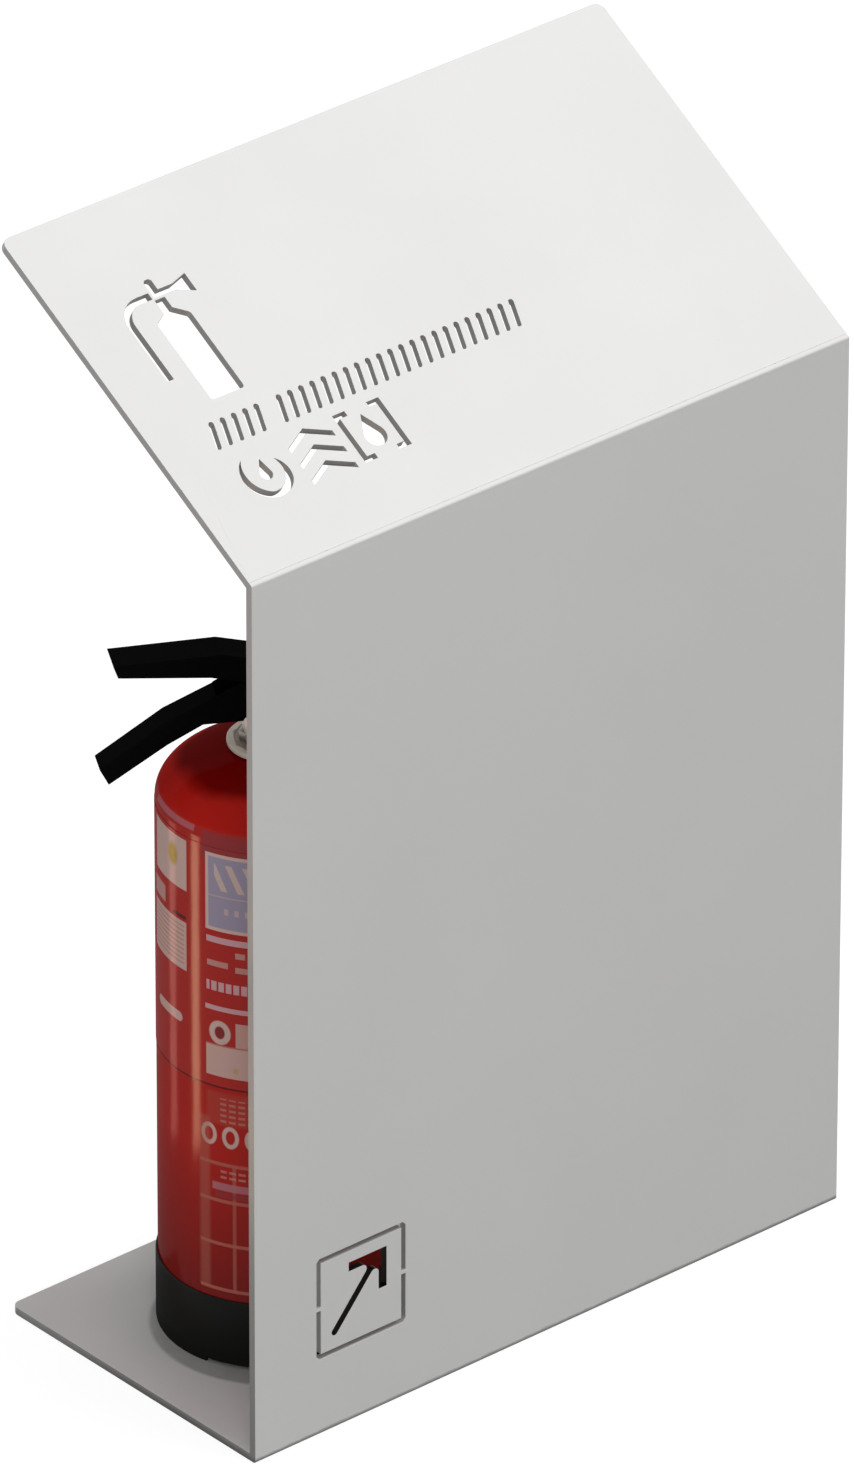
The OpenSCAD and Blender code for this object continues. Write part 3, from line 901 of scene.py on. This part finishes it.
def collar_finish():
    """Pale moulding, darkened towards the neck inside the groove, as painted shade under the valve."""
    material = finish("pale_collar_moulding", COLLAR_PALE, (0.42, 0.55), bump=0.25, fine=1500,
                      broad=90, share=0.8, scale=60)
    net = Net(material.node_tree)
    place = net.place()
    x, y, height = net.xyz(place)
    radius = net.distance(net.minus(x, axis_x), net.minus(y, axis_y))
    cloud = net.noise(place, 120)
    # painted shade under the valve, inside a patchy radius
    patchy = net.ramp(cloud, 0.3, 0.7, collar_r - 6 * MM, collar_r - 4 * MM)
    valve_shade = net.ramp(radius, net.plus(patchy, 1 * MM), patchy)
    return set_shader(material, Base_Color=net.mix(valve_shade, COLLAR_PALE, (0.39, 0.30, 0.25)))


collar_line = [(neck_r, collar_foot), (collar_r - rim, collar_foot)]
collar_line += arc((collar_r - rim, collar_foot + rim), rim, -90, 0, 4)[1:]
collar_line += arc((collar_r - rim, collar_top - rim), rim, 0, 90, 4)
for inwards, depth in ((5, 0), (5.4, groove), (6.4, groove), (6.8, 0)):
    collar_line.append((collar_r - inwards * MM, collar_top - depth))
collar_line += [(neck_r, collar_top), collar_line[0]]
collar = turned("neck_collar_turned", collar_line)
finish_piece(collar, "collar_plastic", collar_finish(), "neck_collar", smooth=35)

# %% The valve body
# The plating's colour is darkened as painted shade, for the shadow under the levers.
shaded_plated_brass = finish("shaded_plated_brass", (0.30, 0.275, 0.245), (0.32, 0.46), bump=0.3, fine=700, broad=90,
                      share=0.6, scale=70, Metallic=1)
turned_steel = finish("turned_steel", (0.56, 0.56, 0.55), (0.24, 0.34), bump=0.2, scale=80, Metallic=1)
valve = copy_of("valve_casting", "valve_body")
round_edges(valve, 0.6 * MM, segments=3)
finish_piece(valve, "valve_brass", shaded_plated_brass, "valve_body")

# %% The spanner hexagon round its foot
hex_foot = collar_top + 0.2 * MM
hex_h = 7 * MM
hex_r = half_size("valve_body") * 1.13
deselect()
bpy.ops.mesh.primitive_cylinder_add(vertices=6, radius=hex_r, depth=hex_h, location=(0, 0, 0))
hexagon = name_new("spanner_hexagon")
open_mesh(hexagon)
bpy.ops.transform.translate(value=(axis_x, axis_y, hex_foot + hex_h / 2))
close_mesh()
round_edges(hexagon, 0.7 * MM, segments=3)
finish_piece(hexagon, "valve_brass", shaded_plated_brass)

# %% Stem, gauge stem, boss and powder keep the frame's shape
dry_powder = finish("dry_powder", (0.8, 0.75, 0.5), (0.85, 0.95), bump=0.6, fine=2500)
for node, material in (("valve_stem", shaded_plated_brass), ("gauge_stem", shaded_plated_brass),
                       ("neck_boss", turned_steel), ("powder_charge", dry_powder)):
    dress_node(node, material)

# %% [markdown]
# ## The hose outlet
#
# The outlet is a short turned socket with a female thread. The thread is modelled as rings, at the pitch
# of a fine thread, because that is what the eye sees from outside.

# %% The threaded socket
outlet = next(mount for mount in frame["record"]["mounts"] if mount["name"] == "hose_outlet")
outlet_r = half_size("outlet_nipple", 2)
hole_r = outlet["dims"]["r_mm"] * MM
mouth = 37 * MM
hole_end = mouth - outlet["dims"]["length_mm"] * MM
root = 17.5 * MM
bevel = 0.8 * MM
pitch = 1.5 * MM
socket_line = [(0, root), (outlet_r, root), (outlet_r, mouth - bevel), (outlet_r - bevel, mouth),
               (hole_r + 1.2 * MM, mouth)]
depth = mouth - 1 * MM
while depth - pitch > hole_end:
    socket_line += [(hole_r, depth), (hole_r + 0.7 * MM, depth - pitch / 2)]
    depth -= pitch
socket_line += [(hole_r, hole_end), (0, hole_end)]
socket = turned("hose_socket", socket_line, Vector((axis_x, axis_y, middle("outlet_nipple").z)),
                Vector(outlet["axis"]).normalized(), steps=64)
finish_piece(socket, "valve_brass", shaded_plated_brass, "outlet_nipple", smooth=30, weighted=False)

# %% [markdown]
# ## The pressure gauge
#
# The gauge faces away from the levers' plane. Its case is turned with a rolled bezel, the lens is a low
# clear dome, and the dial is printed in three plain zones with tick marks. A thin needle stands on the
# green zone.

# %% Where the gauge is
gauge_r = half_size("gauge_case", 2)
case_side, gauge_z = head_place(middle("gauge_case"))[1:]
case_back = case_side - 5 * MM
dial_front = case_back + 6 * MM
gauge_spot = Vector((axis_x, axis_y, gauge_z))
print("gauge at", [round(v, 4) for v in gauge_spot], "radius", round(gauge_r, 4))

# %% Case and lens
chrome = finish("polished_case", (0.68, 0.68, 0.68), (0.10, 0.2), bump=0.1, fine=600, scale=60,
                Metallic=1)
back_r = 2 * MM
roll_r = 1.1 * MM
bezel_in = gauge_r - 2.7 * MM
case_line = [(0, case_back), (gauge_r - back_r, case_back)]
case_line += arc((gauge_r - back_r, case_back + back_r), back_r, -90, 0, 5)[1:]
case_line += [(gauge_r - 0.5 * MM, case_back + 6.5 * MM), (gauge_r, case_back + 7 * MM)]
case_line += arc((gauge_r - roll_r, case_back + 8.9 * MM), roll_r, 0, 150, 8)
case_line += [(bezel_in, case_back + 8.4 * MM), (bezel_in, dial_front), (0, dial_front)]
case = turned("gauge_case_turned", case_line, gauge_spot, across, steps=72)
finish_piece(case, "gauge_metal", chrome, "gauge_case", smooth=35)

clear_lens = finish("clear_lens", (0.95, 0.97, 1), (0.02, 0.06), scale=60, Alpha=0.08)
lens_r = gauge_r - 2.5 * MM
lens_rise = 1.2 * MM
lens_foot = case_back + 8 * MM
lens_rim = lens_foot + 0.6 * MM
lens_line = [(0, lens_foot), (lens_r, lens_foot), (lens_r, lens_rim)]
for degrees in range(10, 90, 10):
    turn = math.radians(degrees)
    lens_line.append((lens_r * math.cos(turn), lens_rim + lens_rise * math.sin(turn)))
lens_line.append((0, lens_rim + lens_rise))
lens = turned("gauge_lens_domed", lens_line, gauge_spot, across, steps=64)
finish_piece(lens, "lens_clear", clear_lens, "gauge_lens", smooth=50)

# %% The needle, pointed at its far end, and its hub
deselect()
bpy.ops.mesh.primitive_plane_add(size=1, location=(0, 0, 0))
needle = name_new("gauge_needle")
open_mesh(needle)
bpy.ops.transform.resize(value=(0.9 * MM, 11.5 * MM, 1))
bpy.ops.transform.translate(value=(0, 3.2 * MM, 0))
bpy.ops.mesh.extrude_region_move(TRANSFORM_OT_translate={"value": (0, 0, 0.3 * MM)})
open_where(needle, "VERT", lambda vertex: vertex.co.y > 5 * MM)
bpy.ops.transform.resize(value=(0.25, 1, 1), center_override=(0, 0, 0))
bpy.ops.mesh.select_all(action="SELECT")
bpy.ops.mesh.normals_make_consistent(inside=False)
close_mesh()
needle_turn = Matrix.Rotation(math.radians(-9), 4, "Z")
stand_up = Matrix((-along, UP, across)).transposed().to_4x4()
needle_place = gauge_spot + across * (dial_front + 0.9 * MM)
needle.data.transform(Matrix.Translation(needle_place) @ stand_up @ needle_turn)
needle_paint = finish("needle_paint", (0.02, 0.02, 0.02), (0.4, 0.5))
finish_piece(needle, "dial_face", needle_paint, smooth=None)

hub_profile = ((0, 0.1), (1.5, 0.1), (1.5, 1.3), (1.1, 1.7), (0, 1.8))
hub_line = [(radius * MM, height * MM) for radius, height in hub_profile]
hub = turned("gauge_hub", hub_line, gauge_spot + across * dial_front, across, steps=24)
finish_piece(hub, "gauge_metal", chrome, smooth=35)


# %% [markdown]
# The dial is drawn in its own plane. The point's offset from the dial's middle is measured along the
# levers and upwards, which gives a radius and a clock angle, and the zones are ranges of that angle.

# %% The printed dial
DIAL_WHITE = (0.80, 0.80, 0.77)
ZONES = ((-118, -38, (0.50, 0.02, 0.015)), (-38, 38, (0.03, 0.28, 0.06)), (38, 118, (0.62, 0.40, 0.03)))


def dial_finish():
    material = finish("dial_print", DIAL_WHITE, (0.35, 0.45), scale=60)
    net = Net(material.node_tree)
    offset = net.add("VectorMath", {0: net.place(), 1: gauge_spot}, operation="SUBTRACT")[0]
    right = net.add("VectorMath", {0: offset, 1: -along}, operation="DOT_PRODUCT")["Value"]
    up = net.xyz(offset)["Z"]
    radius = net.times(net.distance(right, up), 1000)
    clock = net.math("DEGREES", net.math("ARCTAN2", right, up))

    def between(value, low, high, soft):
        rise = net.ramp(value, low - soft, low + soft)
        return net.times(rise, net.ramp(value, high + soft, high - soft))

    band = between(radius, 6.2, 9.4, 0.12)
    color = DIAL_WHITE
    for low, high, tone in ZONES:
        color = net.mix(net.times(band, between(clock, low, high, 0.8)), color, tone)
    spin = net.math("PINGPONG", clock, 10)
    tick = net.times(net.ramp(spin, 1.3, 0.7), between(radius, 9.9, 11.3, 0.1),
                     between(clock, -121, 121, 0.5))
    return set_shader(material, Base_Color=net.mix(tick, color, (0.02, 0.02, 0.02)))


dress_node("gauge_dial", dial_finish())

# %% [markdown]
# ## The two levers
#
# Both levers are pressed from sheet steel: a web on top and a flange down each side. A press can't fold
# a sharp corner, so the long edges between web and flanges are rounded by about the sheet's thickness,
# and every cut edge loses its burr. The paint is a satin black that wears off at those edges first.

# %% The long bends of a pressed lever
def half_width(node):
    return max(abs(head_place(vertex.co)[1]) for vertex in nodes[node].data.vertices)


def bend_long_edges(piece, half, from_reach, radius):
    """Rounds the edges between the upward faces and the outer side faces."""
    def ends(numbers):
        return frozenset(tuple(piece.data.vertices[i].co) for i in numbers)

    normals_at = {}
    for face in piece.data.polygons:
        for key in face.edge_keys:
            normals_at.setdefault(key, []).append(face.normal.copy())
    bends = set()
    for key, normals in normals_at.items():
        places = [head_place(piece.data.vertices[i].co) for i in key]
        outside = all(abs(abs(side) - half) < 0.1 * MM and reach > from_reach for reach, side, up in places)
        sideways = any(abs(normal.dot(across)) > 0.9 for normal in normals)
        if outside and sideways and any(normal.z > 0.25 for normal in normals):
            bends.add(ends(key))
    count = open_where(piece, "EDGE", lambda edge: ends(edge.vertices) in bends)
    bpy.ops.mesh.bevel(offset=radius, segments=4, profile=0.5, affect="EDGES")
    close_mesh()
    print(piece.name, "bends", count)


# %% Black paint with bare metal at its edges
def lever_finish():
    black = (0.0035, 0.0035, 0.0033)
    material = finish("black_lever_paint", black, (0.36, 0.48), bump=0.3, fine=1300, broad=200,
                      share=0.8, scale=40, Specular_IOR_Level=0, Coat_Weight=0.022, Coat_Roughness=0.35)
    net = Net(material.node_tree)
    mask = wear_mask(net, net.place(), 220, 0.12)
    return set_shader(material, Base_Color=net.mix(mask, black, (0.30, 0.29, 0.28)), Metallic=mask)


# %% Carry handle and operating lever
black_paint = lever_finish()
for name, node, body, from_reach in (("carry_handle_pressed", "carry_handle", "extinguisher", 30 * MM),
                                     ("operating_lever_pressed", "operating_lever", "lever", -1)):
    pressed = copy_of(name, node)
    bend_long_edges(pressed, half_width(node), from_reach, 1.3 * MM)
    round_edges(pressed, 0.25 * MM)
    finish_piece(pressed, "lever_paint", black_paint, node, body=body)

# %% [markdown]
# The rivets are closed by a press, which leaves a low dome on each end.

# %% The rivets
head_h = 1.5 * MM
shank_r = 3 * MM
for name, node in (("handle_rivet_domed", "handle_rivet"), ("lever_rivet_domed", "lever_rivet")):
    half = half_width(node)
    head_r = half_size(node, 2)
    ball = (head_r ** 2 + head_h ** 2) / (2 * head_h)
    sweep = math.degrees(math.asin(head_r / ball))
    dome = arc((0, half - ball), ball, 90, 90 - sweep, 6)
    line = [(radius, -height) for radius, height in dome]
    line += [(shank_r, -half + head_h), (shank_r, half - head_h)] + dome[::-1]
    rivet = turned(name, line, middle(node), across, steps=32)
    finish_piece(rivet, "rivet_steel", turned_steel, node, smooth=35)

# %% [markdown]
# ## Floor, light and camera
#
# The floor is a large plane, whose grey carries the shadow. The rays that show a background also see
# white light from it, so that it reads as white paper.

# %% The floor
FLOOR_LIFT = 0.86


def seen_by_eye(net):
    """1 for the rays that show the background: camera, glossy and transmission rays."""
    rays = net.add("LightPath", {})
    seen = net.highest(rays["Is Camera Ray"], rays["Is Glossy Ray"])
    return net.highest(seen, rays["Is Transmission Ray"])


deselect()
bpy.ops.mesh.primitive_plane_add(size=60, location=(0, 0, 0))
floor = name_new("floor")
paper = bpy.data.materials.new("floor_paper")
paper.use_nodes = True
net = Net(paper.node_tree)
lift = net.times(seen_by_eye(net), FLOOR_LIFT)
set_shader(paper, Base_Color=(0.3, 0.3, 0.3), Roughness=0.9, Specular_IOR_Level=0,
           Emission_Color=(1, 1, 1), Emission_Strength=lift)
floor.data.materials.append(paper)

# %% [markdown]
# The world is an even, dim white that fills the shadows. Camera, glossy and transmission rays see it at
# full white. One wide softbox overhead, to the right and in front, lights the sign and the front panel,
# and a low one at the front left lights the bottle. The camera looks down, so the upright red wall mirrors
# the floor: strips lying there, wider the further off they are, draw the long highlights down the bottle.

# %% The world
AMBIENT = 0.362
world = bpy.data.worlds.new("studio")
bpy.context.scene.world = world
world.use_nodes = True
net = Net(world.node_tree)
background = net.tree.nodes["Background"]
net.feed(background.inputs["Color"], (1, 1, 1))
net.feed(background.inputs["Strength"], net.highest(seen_by_eye(net), AMBIENT))

# %% The lamps
VIEW_AZIMUTH = math.radians(40.83)
VIEW_ELEVATION = math.radians(29.78)
looking = Vector((math.sin(VIEW_AZIMUTH) * math.cos(VIEW_ELEVATION),
                  math.cos(VIEW_AZIMUTH) * math.cos(VIEW_ELEVATION), -math.sin(VIEW_ELEVATION)))


def softbox(name, place, turn, size, power, tint=(1, 1, 1)):
    bpy.ops.object.light_add(type="AREA", location=place)
    lamp = bpy.context.object
    lamp.name = name
    lamp.data.shape = "RECTANGLE"
    lamp.data.size, lamp.data.size_y = size
    lamp.data.energy = power
    lamp.data.color = tint
    lamp.rotation_euler = turn
    return lamp


for name, place, aim, side, power, mirrored in (
        ("overhead_softbox", (1.6, -1.35, 5.4), (0, 0, 0.4), 4.2, 189, True),
        ("left_fill", (-2.07, -2.49, 1.85), (-0.2, -0.1, 0.1), 1.2, 19, False)):
    turn = (Vector(aim) - Vector(place)).to_track_quat("-Z", "Y").to_euler()
    lamp = softbox(name, place, turn, (side, side), power)
    lamp.visible_glossy = mirrored
    print(name, "of", power, "watts")

# %% The floor strips
STRIP_HEIGHTS = (0.15, 0.20, 0.265, 0.34, 0.42)


def floor_strips(name, wall_angle, spread, radiance, tint):
    """Low strips along the line on the floor that the camera sees mirrored in the red wall."""
    normal = Vector((math.cos(math.radians(wall_angle)), math.sin(math.radians(wall_angle)), 0))
    mirrored = looking - 2 * looking.dot(normal) * normal
    away = Vector((mirrored.x, mirrored.y, 0)) / -mirrored.z
    face_up = Euler((math.pi, 0, math.atan2(mirrored.y, mirrored.x)))
    for low, high in zip(STRIP_HEIGHTS, STRIP_HEIGHTS[1:]):
        place = axis_foot + normal * bottle_r + away * (low + high) / 2
        place.z = 4 * MM
        length = away.length * (high - low)
        width = away.length * (low + high) / 2 * spread
        strip = softbox(name, place, face_up, (length, width), radiance * math.pi * length * width, tint)
        strip.visible_camera = False
        strip.visible_diffuse = False
    print(name, "of", len(STRIP_HEIGHTS) - 1, "strips, the last at", [round(v, 3) for v in place])


floor_strips("long_highlight", 188.5, 0.17, 19, (1, 0.66, 0.40))
floor_strips("faint_highlight", 171.5, 0.20, 8, (1, 0.46, 0.38))

# %% [markdown]
# The camera looks from the front left and above, through a very long lens: its lines hardly converge.
# Its numbers come from a fit of the stand's edges to the photograph.

# %% The camera
VIEW_ROLL = math.radians(0.08)
VIEW_DISTANCE = 11.215
VIEW_TARGET = Vector((-0.002, -0.00275, 0.394))
FOCAL_PIXELS = 17490
PHOTO_HEIGHT = 1467

bpy.ops.object.camera_add()
camera = bpy.context.object
camera.name = "photo_camera"
camera.location = VIEW_TARGET - looking * VIEW_DISTANCE
rolled = looking.to_track_quat("-Z", "Y") @ Euler((0, 0, VIEW_ROLL)).to_quaternion()
camera.rotation_euler = rolled.to_euler()
camera.data.sensor_fit = "VERTICAL"
camera.data.sensor_height = 24
camera.data.lens = FOCAL_PIXELS / PHOTO_HEIGHT * camera.data.sensor_height
camera.data.clip_end = 100
bpy.context.scene.camera = camera
bpy.context.scene.view_settings.view_transform = "Standard"
print("camera lens", round(camera.data.lens, 1), "mm")
